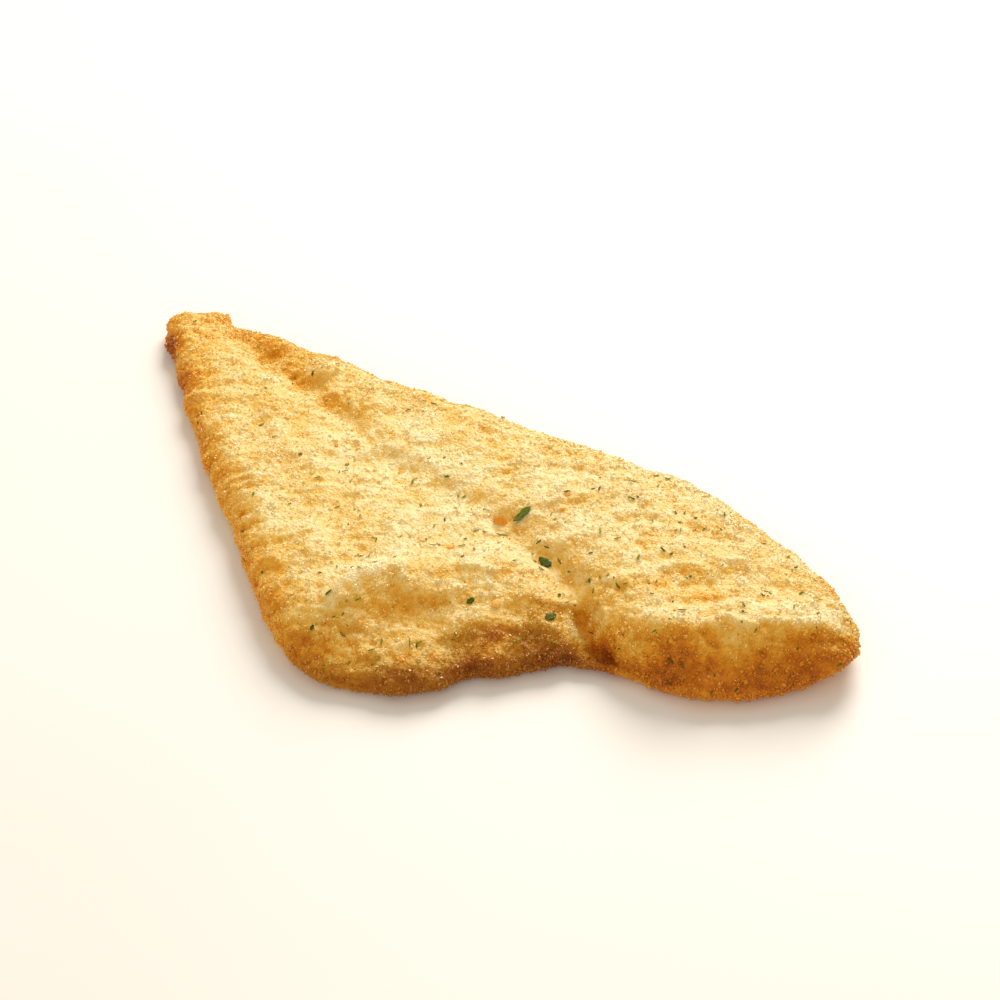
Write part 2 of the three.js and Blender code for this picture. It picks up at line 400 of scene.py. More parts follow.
def flake_relief(place):
    """Broken ridges of the muscle flakes under the crust, falling towards the lobes."""
    right_slope = RIGHT_FLAKE_SLOPE + RIGHT_FLAKE_BEND * place.reach
    slope = np.where(place.reach < 0, LEFT_FLAKE_SLOPE, right_slope)
    wander = FLAKE_WANDER * layered_noise(place.points, FLAKE_WANDER_PITCH, 2, 11)
    course = place.y + slope * place.reach + wander
    relief = np.zeros(len(place.x))
    for pitch, length, height, seed in FLAKES:
        streaks = np.stack((place.x / length, course / pitch, place.z / length), axis=1)
        patches = layered_noise(place.points, FLAKE_PATCH_PITCH, 2, seed + 5)
        patchy = FLAKE_PATCH_MEAN + FLAKE_PATCH_SWING * patches
        relief += height * patchy * (FLAKE_CREST - np.abs(gradient_noise(streaks, seed)))
    return relief


def groove_relief(place):
    depth = value_along(GROOVE_EXTRA_DEPTHS, place.along)
    wobble = GROOVE_WOBBLE * layered_noise(place.points, GROOVE_WOBBLE_PITCH, 2, 41)
    return -depth * np.exp(-((place.reach + wobble) / GROOVE_WIDTH) ** 2)


LUMP_HEIGHT = 0.6
LUMP_EXTRA_AT_SIDE = 0.5
LUMP_PITCH = 11
CLOD_HEIGHT = 0.45
CLOD_PITCH = 4.6
GRAIN_HEIGHT = 0.3
GRAIN_PITCH = 2.0
ROUGH_PATCH_PITCH = 14
ROUGH_PATCH_LEVELS = (-0.3, 0.5)
ROUGH_LEAST = 0.7
ROUGH_EXTRA = 0.5
UNDER_FLATTENING = 0.75


def crust_relief(place):
    """Lumps of crumb from the width of a finger down to a grain."""
    lump_height = LUMP_HEIGHT + LUMP_EXTRA_AT_SIDE * place.side
    lumps = lump_height * layered_noise(place.points, LUMP_PITCH, 2, 51)
    clods = CLOD_HEIGHT * layered_noise(place.points, CLOD_PITCH, 2, 52)
    grains = GRAIN_HEIGHT * layered_noise(place.points, GRAIN_PITCH, 2, 53)
    patches = smooth_step(layered_noise(place.points, ROUGH_PATCH_PITCH, 2, 54), *ROUGH_PATCH_LEVELS)
    rough = ROUGH_LEAST + ROUGH_EXTRA * patches
    return lumps + rough * (clods + grains)


def build_crust():
    piece = remeshed_body()
    refine_top(piece)
    mesh = piece.data
    place = Place(mesh)
    forms = flake_relief(place) + groove_relief(place) + fold_relief(place)
    relief = place.top * forms + crust_relief(place)
    relief = relief * (1 - UNDER_FLATTENING * place.under)
    moved = place.points + place.normals * relief[:, None]
    moved[:, 2] = np.maximum(moved[:, 2], 0)
    set_points(mesh, moved)
    smooth_shaded(mesh)
    hollow = neighbour_hollow(moved, place)
    slopes = unit_rows(relaxed(normals_of(mesh), place.edges, SLOPE_ROUNDS))
    # This level holds the browning together with painted shade and painted light from the slopes, hollows
    # and fronts.
    brown_and_shade = browning_and_shade(place, hollow, slopes @ KEY_LIGHT_SIDE)
    # Painted shade on the lobes' fronts, most on the left lobe.
    painted_shade = painted_shade_share(place)
    set_attribute(mesh, "brown_and_shade", brown_and_shade)
    set_attribute(mesh, "painted_shade", painted_shade)
    add_bake_map(mesh, place)
    return piece, place, brown_and_shade, painted_shade


def neighbour_hollow(points, place):
    """How far each point lies below the relaxed surface round it, positive in hollows."""
    wide = relaxed(points, place.edges, HOLLOW_ROUNDS)
    return np.clip(np.sum((wide - points) * place.normals, axis=1) / HOLLOW_DEPTH, -1, 1)


# How much each kind of place darkens the crust: real browning at the rim, in patches and at the tail,
# painted shade in hollows and on slopes turned from the key light, browning and painted shade on the
# fronts, and paler painted light on slopes facing the key light.
BROWN_EVERYWHERE = 0.17
BROWN_AT_RIM = 0.24
BROWN_IN_PATCHES = 0.12
SHADE_IN_HOLLOWS = 0.16
BROWN_AND_SHADE_ON_FRONTS = 0.25
SHADE_ON_SLOPES_FROM_KEY = 0.15
LIGHT_ON_SLOPES_TO_KEY = 0.07
BROWN_AT_TAIL = 0.16

BROWN_RIM_WIDTH = 4.5
BROWN_RIM_POWER = 1.2
BROWN_PATCH_PITCH = 16
SHADED_SLOPE_LEVELS = (0.0, 0.5)
LIT_SLOPE_LEVELS = (0.0, 0.4)
TAIL_REACH = (20, 108)


def browning_and_shade(place, hollow, key_facing):
    """0 where the crust is palest, 1 where it is darkest: fried browning together with painted shade and
    painted light.
    """
    rim = np.exp(-(place.edge / BROWN_RIM_WIDTH) ** BROWN_RIM_POWER)
    patches = layered_noise(place.points, BROWN_PATCH_PITCH, 3, 61)
    # Painted shade on slopes turned from the key light, and paler painted light on slopes facing it.
    slopes_from_key = smooth_step(-key_facing, *SHADED_SLOPE_LEVELS)
    slopes_to_key = smooth_step(key_facing, *LIT_SLOPE_LEVELS)
    brown_and_shade = BROWN_EVERYWHERE + BROWN_AT_RIM * np.maximum(rim, place.under)
    # Random patches of browning, and painted shade in the hollows with paler painted light on the crests.
    brown_and_shade = brown_and_shade + BROWN_IN_PATCHES * patches + SHADE_IN_HOLLOWS * hollow
    # The lobes' fronts: partly fried browner, partly painted shade where they turn from the key light.
    brown_and_shade += BROWN_AND_SHADE_ON_FRONTS * front_share(place)
    brown_and_shade += SHADE_ON_SLOPES_FROM_KEY * slopes_from_key - LIGHT_ON_SLOPES_TO_KEY * slopes_to_key
    brown_and_shade += BROWN_AT_TAIL * smooth_step(place.y, *TAIL_REACH)
    # Listed spots: fried spots, painted shade on shaded faces and hollows, and paler painted light on lit
    # crests.
    for x, y, long, short, turn, amount in SPOTS:
        brown_and_shade += amount * oval(place, x, y, long, short, turn)
    return np.clip(brown_and_shade, 0, 1)


FRONT_RAGGEDNESS = 0.14
FRONT_RAGGED_PITCH = 12
FRONT_LEVELS = (-0.12, 0.6)
FRONT_REACH = (-10, 62)


def front_share(place):
    """1 on the fronts of the two lobes, with a ragged upper border."""
    ragged = FRONT_RAGGEDNESS * layered_noise(place.points, FRONT_RAGGED_PITCH, 3, 62)
    front = -place.normals @ FRONT_SIDE + ragged
    return smooth_step(front, *FRONT_LEVELS) * smooth_step(-place.y, *FRONT_REACH)


SHADE_EDGE_REACH = (3, 26)
SHADE_LEFT_REACH = (-6, 8)
SHADE_LEAST = 0.2
SHADE_EXTRA_ON_LEFT = 0.8


def painted_shade_share(place):
    """1 where painted shade darkens the crust to a dull gold: the left lobe's front, less on the right."""
    near_base = 1 - smooth_step(place.edge, *SHADE_EDGE_REACH)
    left_base = smooth_step(-place.reach, *SHADE_LEFT_REACH) * near_base
    return np.clip(front_share(place) * (SHADE_LEAST + SHADE_EXTRA_ON_LEFT * left_base), 0, 1)


MAP_MARGIN = 8
MAP_SPREAD = 0.75
MAP_FILL = 0.98
MAP_BORDER = 0.01


def add_bake_map(mesh, place):
    """Seen from above on the left of the map, from below on the right, with a strip both use."""
    low, high = place.points.min(0), place.points.max(0)
    scale = MAP_FILL / (high[1] - low[1] + 2 * MAP_MARGIN)
    spread = place.points[:, :2] + place.normals[:, :2] * MAP_SPREAD * MAP_MARGIN
    plan = (spread - low[:2] + MAP_MARGIN) * scale
    layer = mesh.uv_layers.new(name="OFBake")
    loops = np.empty(len(mesh.loops), np.int32)
    mesh.loops.foreach_get("vertex_index", loops)
    below = np.zeros(len(mesh.loops), bool)
    for polygon in mesh.polygons:
        if polygon.normal.z < 0:
            below[polygon.loop_start:polygon.loop_start + polygon.loop_total] = True
    uv = plan[loops] + MAP_BORDER
    uv[below, 0] = 1 - uv[below, 0]
    layer.data.foreach_set("uv", uv.astype(np.float32).ravel())


# ---------------------------------------------------------------- crumbs

OCTAHEDRON_POINTS = np.array(((1, 0, 0), (-1, 0, 0), (0, 1, 0), (0, -1, 0), (0, 0, 1), (0, 0, -1)), float)
OCTAHEDRON_FACES = np.array(((0, 2, 4), (2, 1, 4), (1, 3, 4), (3, 0, 4),
                             (2, 0, 5), (1, 2, 5), (3, 1, 5), (0, 3, 5)))


def icosphere(levels):
    form = bmesh.new()
    bmesh.ops.create_icosphere(form, subdivisions=levels, radius=1)
    points = np.array([vertex.co[:] for vertex in form.verts])
    faces = np.array([[vertex.index for vertex in face.verts] for face in form.faces])
    form.free()
    return points, faces


class Surface:
    """The finished crust, with places on it to scatter crumbs over."""

    def __init__(self, piece, place, brown_and_shade, painted_shade):
        mesh = piece.data
        self.place = place
        self.points = points_of(mesh)
        self.normals = unit_rows(relaxed(normals_of(mesh), place.edges, SEAT_ROUNDS))
        self.brown_and_shade = brown_and_shade
        self.painted_shade = painted_shade
        self.proud = crumb_height(place)
        mesh.calc_loop_triangles()
        corners = np.empty(len(mesh.loop_triangles) * 3, np.int32)
        mesh.loop_triangles.foreach_get("vertices", corners)
        self.corners = corners.reshape(-1, 3)
        a, b, c = (self.points[self.corners[:, corner]] for corner in range(3))
        self.areas = np.linalg.norm(np.cross(b - a, c - a), axis=1) / 2
        self.above = np.flatnonzero(self.normals[:, 2] > SEAT_FACING)
        self.tree = KDTree(len(self.above))
        for order, index in enumerate(self.above):
            self.tree.insert((self.points[index, 0], self.points[index, 1], 0), order)
        self.tree.balance()

    def scatter(self, count, weight, rng):
        chance = self.areas * weight[self.corners].mean(axis=1)
        chosen = rng.choice(len(chance), count, p=chance / chance.sum())
        first, second = rng.random((2, count))
        flip = first + second > 1
        first[flip], second[flip] = 1 - first[flip], 1 - second[flip]
        shares = np.stack((1 - first - second, first, second), axis=1)[:, :, None]
        corners = self.corners[chosen]
        points = (self.points[corners] * shares).sum(axis=1)
        normals = unit_rows((self.normals[corners] * shares).sum(axis=1))
        shares = shares[:, :, 0]
        levels = (self.brown_and_shade, self.painted_shade, self.proud)
        return points, normals, *((level[corners] * shares).sum(axis=1) for level in levels)

    def seat(self, x, y):
        """The point of the top at a place seen from above, and the way it faces."""
        index = self.above[self.tree.find((x, y, 0))[1]]
        return self.points[index], self.normals[index]


def random_turns(count, rng):
    """Random rotation matrices."""
    w, x, y, z = unit_rows(rng.normal(size=(count, 4))).T
    return np.stack((
        1 - 2 * (y * y + z * z), 2 * (x * y - z * w), 2 * (x * z + y * w),
        2 * (x * y + z * w), 1 - 2 * (x * x + z * z), 2 * (y * z - x * w),
        2 * (x * z - y * w), 2 * (y * z + x * w), 1 - 2 * (x * x + y * y),
    ), axis=1).reshape(-1, 3, 3)


# A crumb's form: how its size leans to the small, how ragged and stretched it is, and how it sits.
CRUMB_SIZE_LEAN = 1.8
CRUMB_RAGGEDNESS = 0.28
CRUMB_RAGGED_LIMITS = (0.45, 1.5)
CRUMB_FLATTEST = 0.6
CRUMB_LONGEST = 1.25
CRUMB_PROUD_LIFT = 0.42


def crumb_piece(name, surface, shape, count, weight, sizes, seating, seed,
                flatness=CRUMB_FLATTEST, smooth=True):
    """One mesh of many broken crumbs, each pressed a little way into the crust."""
    rng = np.random.default_rng(seed)
    shape_points, shape_faces = shape
    points, normals, brown_and_shade, painted_shade, proud = surface.scatter(count, weight, rng)
    radius = 0.5 * sizes[0] * (sizes[1] / sizes[0]) ** (rng.random(count) ** CRUMB_SIZE_LEAN)
    ragged = 1 + CRUMB_RAGGEDNESS * rng.normal(size=(count, len(shape_points), 1))
    stretch = rng.uniform(flatness, CRUMB_LONGEST, size=(count, 1, 3))
    crumbs = shape_points[None] * np.clip(ragged, *CRUMB_RAGGED_LIMITS) * stretch
    crumbs = np.einsum("nij,nkj->nki", random_turns(count, rng), crumbs) * radius[:, None, None]
    lift = radius * (seating + CRUMB_PROUD_LIFT * proud)
    centres = points + normals * lift[:, None]
    crumbs += centres[:, None]
    crumbs[:, :, 2] = np.maximum(crumbs[:, :, 2], 0)
    faces = shape_faces[None] + (np.arange(count) * len(shape_points))[:, None, None]
    mesh = mesh_from(name, crumbs.reshape(-1, 3), faces.reshape(-1, 3))
    smooth_shaded(mesh, smooth)
    # The crumbs take the crust's browning, painted shade and painted light where they sit.
    set_attribute(mesh, "brown_and_shade", np.repeat(brown_and_shade, len(shape_points)))
    set_attribute(mesh, "painted_shade", np.repeat(painted_shade, len(shape_points)))
    set_attribute(mesh, "tint", np.repeat(rng.random(count), len(shape_points)))
    add_cell_map(mesh, shape_points, count)
    return new_piece(name, mesh)


CELL_FILL = 0.42


def add_cell_map(mesh, shape_points, count):
    """A map with a square of its own for each crumb, as seen along its local Z."""
    columns = math.ceil(math.sqrt(count))
    index = np.arange(count)
    corner = np.stack((index % columns, index // columns), axis=1)
    spots = (corner[:, None] + 0.5 + CELL_FILL * shape_points[None, :, :2]) / columns
    layer = mesh.uv_layers.new(name="OFBake")
    loops = np.empty(len(mesh.loops), np.int32)
    mesh.loops.foreach_get("vertex_index", loops)
    layer.data.foreach_set("uv", spots.reshape(-1, 2)[loops].astype(np.float32).ravel())


PROUD_RIM_WIDTH = 6
PROUD_PATCH_PITCH = 10
PROUD_IN_PATCHES = 0.5
PROUD_PATCH_LEVELS = (0, 0.6)
PROUD_ON_FRONTS = 0.6
PROUD_FRONT_LEVELS = (0.05, 0.3)


def crumb_height(place):
    """How proud crumbs sit: 0 where they are pressed into the top, 1 on the rims and fronts."""
    rim = np.exp(-place.edge / PROUD_RIM_WIDTH) + place.side
    patches = smooth_step(layered_noise(place.points, PROUD_PATCH_PITCH, 2, 87), *PROUD_PATCH_LEVELS)
    fronts = smooth_step(-place.normals @ FRONT_SIDE, *PROUD_FRONT_LEVELS)
    return np.clip(rim + PROUD_IN_PATCHES * patches + PROUD_ON_FRONTS * fronts, 0, 1)


# How thickly crumbs lie: in patches, more at the sides and rims, and less below.
WEIGHT_LEAST = 0.35
WEIGHT_PATCH_LEVELS = (-0.4, 0.5)
WEIGHT_AT_SIDE = 0.9
WEIGHT_AT_RIM = 0.9
WEIGHT_RIM_WIDTH = 7
WEIGHT_LOST_BELOW = 0.45


def crumb_weight(place, pitch, seed):
    patchy = smooth_step(layered_noise(place.points, pitch, 2, seed), *WEIGHT_PATCH_LEVELS)
    rims = 1 + WEIGHT_AT_SIDE * place.side + WEIGHT_AT_RIM * np.exp(-place.edge / WEIGHT_RIM_WIDTH)
    return (WEIGHT_LEAST + patchy) * rims * (1 - WEIGHT_LOST_BELOW * place.under)


# ---------------------------------------------------------------- herbs

# Larger flecks of dried leaf: (x, y, length, width, turn).
LEAVES = (
    (12, -25.5, 6.2, 2.8, -4), (6.8, -41, 4.2, 2.1, -84), (-4.4, -57, 3.4, 2.0, -5),
    (-17.5, -41.6, 2.3, 1.8, 0), (-46, -22, 2.2, 1.5, -30), (-54, -26, 1.6, 1.3, 20),
    (-1, 4, 1.5, 1.0, 40), (-9.6, 22, 1.6, 1.2, 10), (-36.5, 25.6, 1.8, 1.2, 60),
    (-16.6, 51, 1.9, 1.3, 20), (-17.6, 43, 1.4, 1.0, -50), (-6, 64, 1.3, 0.9, 80),
    (15, 60, 1.3, 0.8, -20), (8, 62, 1.5, 0.9, 15), (-17, 32, 1.3, 1.0, 0),
    (-11, -30, 1.5, 1.0, 30), (7, 0, 1.4, 0.9, -40), (6, -8, 1.2, 0.8, 0),
    (10, -55, 1.5, 1.0, 50), (13.4, -58, 1.2, 0.8, -10), (2, -52, 1.4, 1.0, 25),
    (55, -46, 1.3, 0.7, -70), (51.5, -36, 1.3, 0.8, -30), (26, -26, 1.8, 1.0, -35),
    (47, -92, 1.6, 0.9, -15), (45, -100, 1.3, 0.8, 30), (-15, -58, 1.4, 1.0, 0),
    (22, -44, 1.6, 1.0, 60), (30, -62, 1.1, 0.7, 0), (-26, -47, 1.1, 0.8, 90),
)

# Thin stalks: (turn of the first stretch, length of a stretch, bends between stretches, x, y).
STALKS = (
    (-50, 1.5, (25, -70, -40, 10), 3.2, -24.6),
    (-128, 1.4, (8, -10), -36, -41.5),
    (-60, 1.0, (20,), -13.5, -20),
    (-80, 0.9, (30, -10), -8, -62),
    (30, 1.0, (-20,), 52, -54),
    (-20, 0.8, (15,), -30, -12),
)


LEAF_ROWS = 9
LEAF_COLUMNS = 5
LEAF_BLUNTNESS = 2.4
LEAF_TAPER = 0.6
LEAF_TIP = 0.06
LEAF_RAGGED_WIDTHS = (0.75, 1.15)
LEAF_CROSS_CURL = 0.5
LEAF_LONG_CURL = 0.25
LEAF_RIPPLE = 0.06
LEAF_HALF_THICKNESS = 0.07
LEAF_INSIDE = 0.99


def leaf_shape(length, width, curl, rng):
    """The points and faces of a thin curled scrap of leaf, closed all round."""
    rows, columns = LEAF_ROWS, LEAF_COLUMNS
    along, across = np.meshgrid(np.linspace(-1, 1, rows), np.linspace(-1, 1, columns), indexing="ij")
    ragged = rng.uniform(*LEAF_RAGGED_WIDTHS, size=(rows, 1))
    span = (1 - np.abs(along) ** LEAF_BLUNTNESS) ** LEAF_TAPER * ragged + LEAF_TIP
    x = 0.5 * length * along
    y = 0.5 * width * across * span
    bow = across ** 2 * LEAF_CROSS_CURL + LEAF_LONG_CURL * along ** 2
    z = curl * width * bow + LEAF_RIPPLE * rng.normal(size=x.shape)
    inner = (np.abs(along) < LEAF_INSIDE) & (np.abs(across) < LEAF_INSIDE)
    upper = np.stack((x, y, z + LEAF_HALF_THICKNESS * inner), axis=2).reshape(-1, 3)
    lower = np.stack((x, y, z - LEAF_HALF_THICKNESS), axis=2)[inner]
    upper_index = np.arange(rows * columns).reshape(rows, columns)
    lower_index = upper_index.copy()
    lower_index[inner] = rows * columns + np.arange(inner.sum())
    faces = []
    for index, order in ((upper_index, 1), (lower_index, -1)):
        for row in range(rows - 1):
            for column in range(columns - 1):
                a, b = index[row, column], index[row + 1, column]
                c, d = index[row + 1, column + 1], index[row, column + 1]
                halves = ((a, b, c), (a, c, d))
                # These corners are split the other way, so that no face has only rim points.
                if (row, column) in ((0, columns - 2), (rows - 2, 0)):
                    halves = ((a, b, d), (b, c, d))
                faces += [half[::order] for half in halves]
    return np.concatenate((upper, lower)), np.array(faces)


STALK_SIDES = 6
STALK_RADIUS = 0.15
STALK_TIP_RADIUS = 0.05
STALK_RADIUS_SHARES = (0.7, 1.25)
STALK_LIFT = 0.16
STALK_EXTRA_LIFT = 0.14


def stalk_shape(first_turn, step, bends, rng):
    """The points and faces of a thin bent stalk that starts at the middle of its frame."""
    turn, here = math.radians(first_turn), np.zeros(3)
    path = [here]
    for bend in (*bends, 0):
        here = here + step * np.array((math.cos(turn), math.sin(turn), 0))
        path.append(here)
        turn += math.radians(bend)
    path = np.array(path)
    path[:, 2] = STALK_LIFT + STALK_EXTRA_LIFT * rng.random(len(path))
    ways = unit_rows(np.gradient(path, axis=0))
    sideways = unit_rows(np.cross(ways, (0, 0, 1)))
    sides = STALK_SIDES
    radii = STALK_RADIUS * rng.uniform(*STALK_RADIUS_SHARES, len(path))
    radii[[0, -1]] = STALK_TIP_RADIUS
    rings = []
    for side in range(sides):
        angle = 2 * np.pi * side / sides
        outward = sideways * math.cos(angle) + np.array((0, 0, math.sin(angle)))
        rings.append(path + outward * radii[:, None])
    points = np.stack(rings, axis=1).reshape(-1, 3)
    faces = []
    for ring in range(len(path) - 1):
        for side in range(sides):
            a, b = ring * sides + side, ring * sides + (side + 1) % sides
            faces += [(a, a + sides, b), (b, a + sides, b + sides)]
    last = (len(path) - 1) * sides
    for side in range(1, sides - 1):
        faces += [(0, side, side + 1), (last, last + side + 1, last + side)]
    return points, np.array(faces)


def set_down(points, surface, x, y, turn, lift, tilt, rng):
    """Lays a shape on the crust at a place seen from above."""
    seat, normal = surface.seat(x, y)
    up = unit_rows((normal + tilt * rng.normal(size=3))[None])[0]
    ahead = np.array((math.cos(math.radians(turn)), math.sin(math.radians(turn)), 0))
    side = unit_rows(np.cross(up, ahead)[None])[0]
    ahead = np.cross(side, up)
    return seat + up * lift + points @ np.stack((ahead, side, up))


def joined_piece(name, shapes, tints):
    points, faces, start = [], [], 0
    for shape_points, shape_faces in shapes:
        points.append(shape_points)
        faces.append(shape_faces + start)
        start += len(shape_points)
    mesh = mesh_from(name, np.concatenate(points), np.concatenate(faces))
    set_attribute(mesh, "tint", np.repeat(tints, [len(shape_points) for shape_points, _ in shapes]))
    smooth_shaded(mesh)
    return new_piece(name, mesh)


# Small scraps are scattered over the top, more thickly towards the lobes.
SCRAP_COUNT = 150
SCRAP_LENGTHS = (0.8, 2.1)
SCRAP_WIDTHS = (0.3, 0.7)
SCRAP_CURLS = (-0.1, 0.45)
SCRAP_NARROWING = 0.75
SCRAP_TILT = 0.1
SCRAP_TINTS = 0.9
SCRAP_PATCH_PITCH = 22
SCRAP_PATCH_LEVELS = (-0.4, 0.5)
SCRAP_LEAST = 0.4
SCRAP_LOBE_REACH = (-50, 40)

# A leaf longer than this lies flatter and is darker than a scrap.
LARGE_LEAF = 3
LARGE_LEAF_CURL = 0.12
LARGE_LEAF_TILT = 0.02
LARGE_LEAF_TINTS = 0.3

LEAF_LIFT = 0.14
LEAF_LIFT_BY_LENGTH = 0.08
STALK_SEAT = 0.05


def build_herbs(surface):
    rng = np.random.default_rng(301)
    place = surface.place
    shapes, tints = [], []
    scraps = list(LEAVES)
    patches = layered_noise(place.points, SCRAP_PATCH_PITCH, 2, 81)
    weight = place.top * smooth_step(patches, *SCRAP_PATCH_LEVELS)
    weight = weight * (SCRAP_LEAST + smooth_step(-place.y, *SCRAP_LOBE_REACH))
    for x, y, _ in surface.scatter(SCRAP_COUNT, weight, rng)[0]:
        length, width = rng.uniform(*SCRAP_LENGTHS), rng.uniform(*SCRAP_WIDTHS)
        scraps.append((x, y, length, width, rng.uniform(0, 360)))
    for x, y, length, width, turn in scraps:
        large = length > LARGE_LEAF
        width *= 1 if large else SCRAP_NARROWING
        curl = LARGE_LEAF_CURL if large else rng.uniform(*SCRAP_CURLS)
        points, faces = leaf_shape(length, width, curl, rng)
        lift = LEAF_LIFT + LEAF_LIFT_BY_LENGTH * length
        tilt = LARGE_LEAF_TILT if large else SCRAP_TILT
        shapes.append((set_down(points, surface, x, y, turn, lift, tilt, rng), faces))
        tints.append(rng.random() * (LARGE_LEAF_TINTS if large else SCRAP_TINTS))
    for first_turn, step, bends, x, y in STALKS:
        points, faces = stalk_shape(first_turn, step, bends, rng)
        shapes.append((set_down(points, surface, x, y, 0, STALK_SEAT, 0.0, rng), faces))
        tints.append(rng.random())
    return joined_piece("herb_leaves", shapes, tints)


# Orange toasted lumps of crumb: (x, y, length, width, height, turn).
TOASTED = (
    (7.4, -22, 3.4, 1.7, 2.0, -38), (0.2, 10.5, 2.0, 1.6, 0.9, 10), (-9.5, -22.4, 1.9, 1.5, 0.9, 60),
    (-13, -46, 2.6, 2.2, 1.0, 0), (-6, 32, 1.5, 1.2, 0.7, 0), (21, -30, 1.4, 1.0, 0.6, 0),
    (33, -84, 1.6, 1.1, 0.7, 30), (-24, 8, 1.4, 1.1, 0.6, 80), (-44, -32, 1.5, 1.3, 0.7, 0),
)


# Further toasted lumps are scattered over the top.
SMALL_LUMP_COUNT = 9
SMALL_LUMP_LENGTHS = (0.8, 1.5)
SMALL_LUMP_WIDTHS = (0.7, 1.1)
SMALL_LUMP_HEIGHTS = (0.4, 0.8)
LUMP_RAGGEDNESS = 0.42
LUMP_RAGGED_PITCH = 1.3
LUMP_NOISE_SPAN = 50
LUMP_HALF_HEIGHT = 0.62
LUMP_LIFT = 0.12
LUMP_TILT = 0.1


def build_toasted(surface):
    rng = np.random.default_rng(302)
    shape_points, shape_faces = icosphere(3)
    shapes, tints = [], []
    lumps = list(TOASTED)
    for x, y, _ in surface.scatter(SMALL_LUMP_COUNT, surface.place.top, rng)[0]:
        size = [rng.uniform(*span) for span in (SMALL_LUMP_LENGTHS, SMALL_LUMP_WIDTHS, SMALL_LUMP_HEIGHTS)]
        lumps.append((x, y, *size, rng.uniform(0, 360)))
    for x, y, length, width, height, turn in lumps:
        noise_place = shape_points + rng.uniform(0, LUMP_NOISE_SPAN, 3)
        ragged = 1 + LUMP_RAGGEDNESS * layered_noise(noise_place, LUMP_RAGGED_PITCH, 3, 91)
        half_sizes = (0.5 * length, 0.5 * width, LUMP_HALF_HEIGHT * height)
        points = shape_points * ragged[:, None] * half_sizes
        seated = set_down(points, surface, x, y, turn, LUMP_LIFT * height, LUMP_TILT, rng)
        shapes.append((seated, shape_faces))
        tints.append(rng.random())
    return joined_piece("crumbs_toasted", shapes, tints)


SPECK_COUNT = 230
SPECK_SIZES = (0.24, 0.62)
SPECK_SEATING = 0.3
SPECK_FLATNESS = 0.3
SPECK_PATCH_PITCH = 17
SPECK_PATCH_LEVELS = (-0.25, 0.45)
SPECK_LEAST = 0.08
SPECK_AT_SIDE = 0.25
SPECK_EXTRA_ON_LOBES = 1.2
SPECK_LOBE_REACH = (-10, 50)


def build_specks(surface):
    place = surface.place
    patchy = smooth_step(layered_noise(place.points, SPECK_PATCH_PITCH, 2, 83), *SPECK_PATCH_LEVELS)
    weight = (SPECK_LEAST + patchy) * (place.top + SPECK_AT_SIDE * place.side)
    weight = weight * (1 + SPECK_EXTRA_ON_LOBES * smooth_step(-place.y, *SPECK_LOBE_REACH))
    return crumb_piece("specks", surface, icosphere(1), SPECK_COUNT, weight, SPECK_SIZES,
                       SPECK_SEATING, 303, SPECK_FLATNESS)


# ---------------------------------------------------------------- materials

def srgb(red, green, blue):
    """A display colour, 0 to 255, as linear light."""
    def linear(value):
        share = value / 255
        return share / 12.92 if share <= 0.04045 else ((share + 0.055) / 1.055) ** 2.4
    return (linear(red), linear(green), linear(blue), 1)


# Most of a noise node's output lies between these levels.
NOISE_SPAN = (0.3, 0.7)


